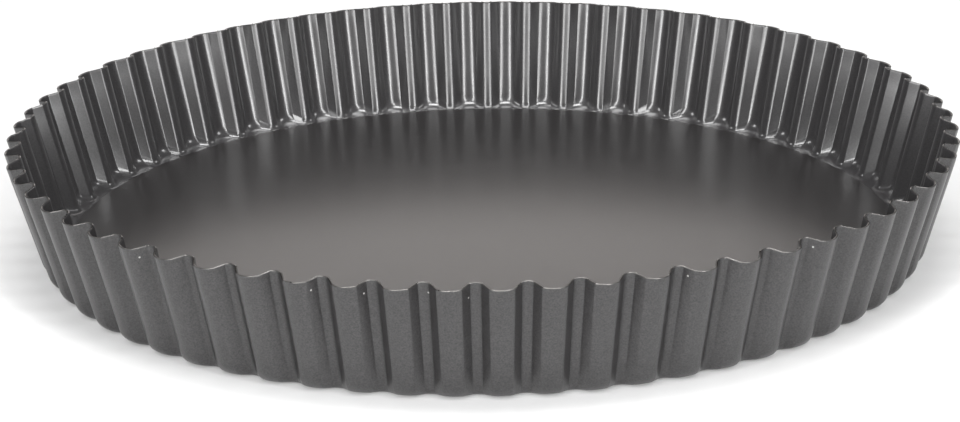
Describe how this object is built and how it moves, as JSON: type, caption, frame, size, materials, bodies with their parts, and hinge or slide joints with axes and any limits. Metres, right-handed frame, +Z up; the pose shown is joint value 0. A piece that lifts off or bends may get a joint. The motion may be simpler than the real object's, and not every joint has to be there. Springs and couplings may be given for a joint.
{
  "type": "fluted pie pan with loose base",
  "caption": "Round shallow fluted pie and tart pan in coated sheet steel: a drawn fluted ring whose foot turns in as a ledge, and a flat loose base disc that lifts out of it.",
  "frame": {"origin": "centre of the pan on the surface that it stands on", "axes": "+Z up along the pan's axis, +X through the outermost point of a flute"},
  "size_m": [0.28, 0.28, 0.0352],
  "materials": {
    "ring_coating": "anthracite grey non-stick coating on steel, satin with a fine metallic speckle",
    "base_coating": "anthracite grey non-stick coating on steel, smooth satin to semi-gloss"
  },
  "bodies": {
    "ring": {"fluted_ring": "ring_coating"},
    "base": {"loose_base": "base_coating"}
  },
  "joints": [
    {"name": "base_lift", "type": "slide", "parent": "ring", "child": "base", "axis": [0, 0, 1], "range_m": [0, 0.06]}
  ]
}
